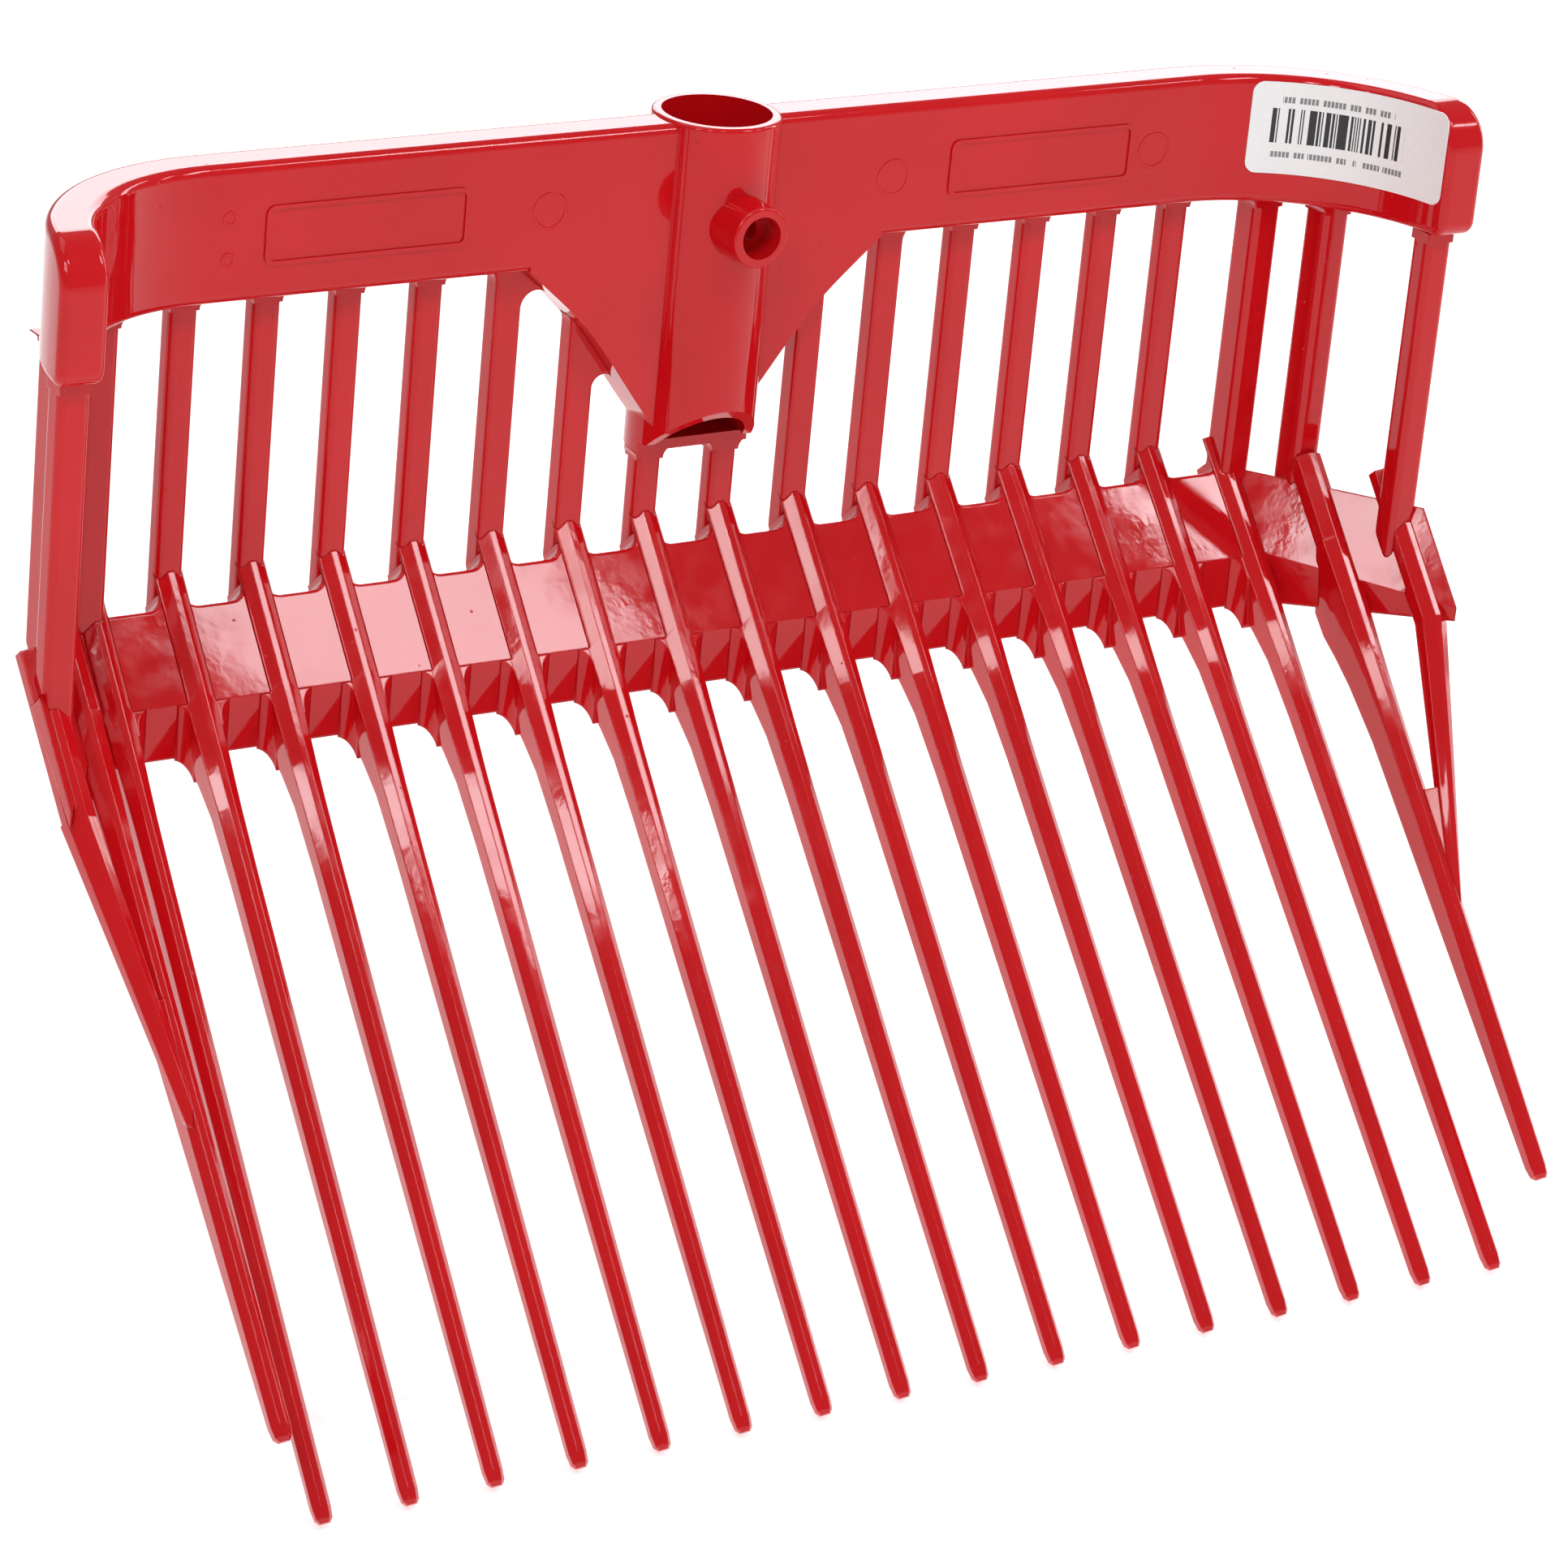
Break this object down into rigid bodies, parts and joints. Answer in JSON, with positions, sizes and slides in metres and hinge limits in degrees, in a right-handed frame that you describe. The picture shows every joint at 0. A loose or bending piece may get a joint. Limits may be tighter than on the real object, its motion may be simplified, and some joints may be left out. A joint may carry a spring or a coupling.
{
  "type": "bedding fork head",
  "caption": "Scoop-shaped moulded fork head with a barred back, long tapered tines, side braces and a handle socket with a screw boss.",
  "frame": {"origin": "centre of the handle socket's mouth", "axes": "+Z along the socket bore, out of its mouth towards the handle; +X along the rail; -Y the side that the tines point to (the scoop)"},
  "size_m": [0.4192, 0.1748, 0.2903],
  "materials": {
    "red_plastic": "glossy injection-moulded",
    "label_paper": "satin printed label"
  },
  "bodies": {
    "root": {"bar_00": "red_plastic", "bar_01": "red_plastic", "bar_02": "red_plastic", "bar_03": "red_plastic", "bar_04": "red_plastic", "bar_05": "red_plastic", "bar_06": "red_plastic", "bar_07": "red_plastic", "bar_08": "red_plastic", "bar_09": "red_plastic", "bar_10": "red_plastic", "bar_11": "red_plastic", "bar_12": "red_plastic", "bar_13": "red_plastic", "bar_14": "red_plastic", "bar_15": "red_plastic", "bar_16": "red_plastic", "bar_17": "red_plastic", "bar_18": "red_plastic", "bar_19": "red_plastic", "barcode_label": "label_paper", "brace_web_left": "red_plastic", "brace_web_right": "red_plastic", "crossbar_left": "red_plastic", "crossbar_middle": "red_plastic", "crossbar_right": "red_plastic", "gusset_left": "red_plastic", "gusset_right": "red_plastic", "handle_socket": "red_plastic", "plaque_frame_left": "red_plastic", "plaque_frame_right": "red_plastic", "rail_end_left": "red_plastic", "rail_end_right": "red_plastic", "rail_left": "red_plastic", "rail_right": "red_plastic", "screw_boss": "red_plastic", "side_brace_left": "red_plastic", "side_brace_right": "red_plastic", "socket_floor": "red_plastic", "tine_01": "red_plastic", "tine_02": "red_plastic", "tine_03": "red_plastic", "tine_04": "red_plastic", "tine_05": "red_plastic", "tine_06": "red_plastic", "tine_07": "red_plastic", "tine_08": "red_plastic", "tine_09": "red_plastic", "tine_10": "red_plastic", "tine_11": "red_plastic", "tine_12": "red_plastic", "tine_13": "red_plastic", "tine_14": "red_plastic", "tine_15": "red_plastic", "tine_16": "red_plastic", "tine_17": "red_plastic", "tine_18": "red_plastic"}
  },
  "joints": []
}
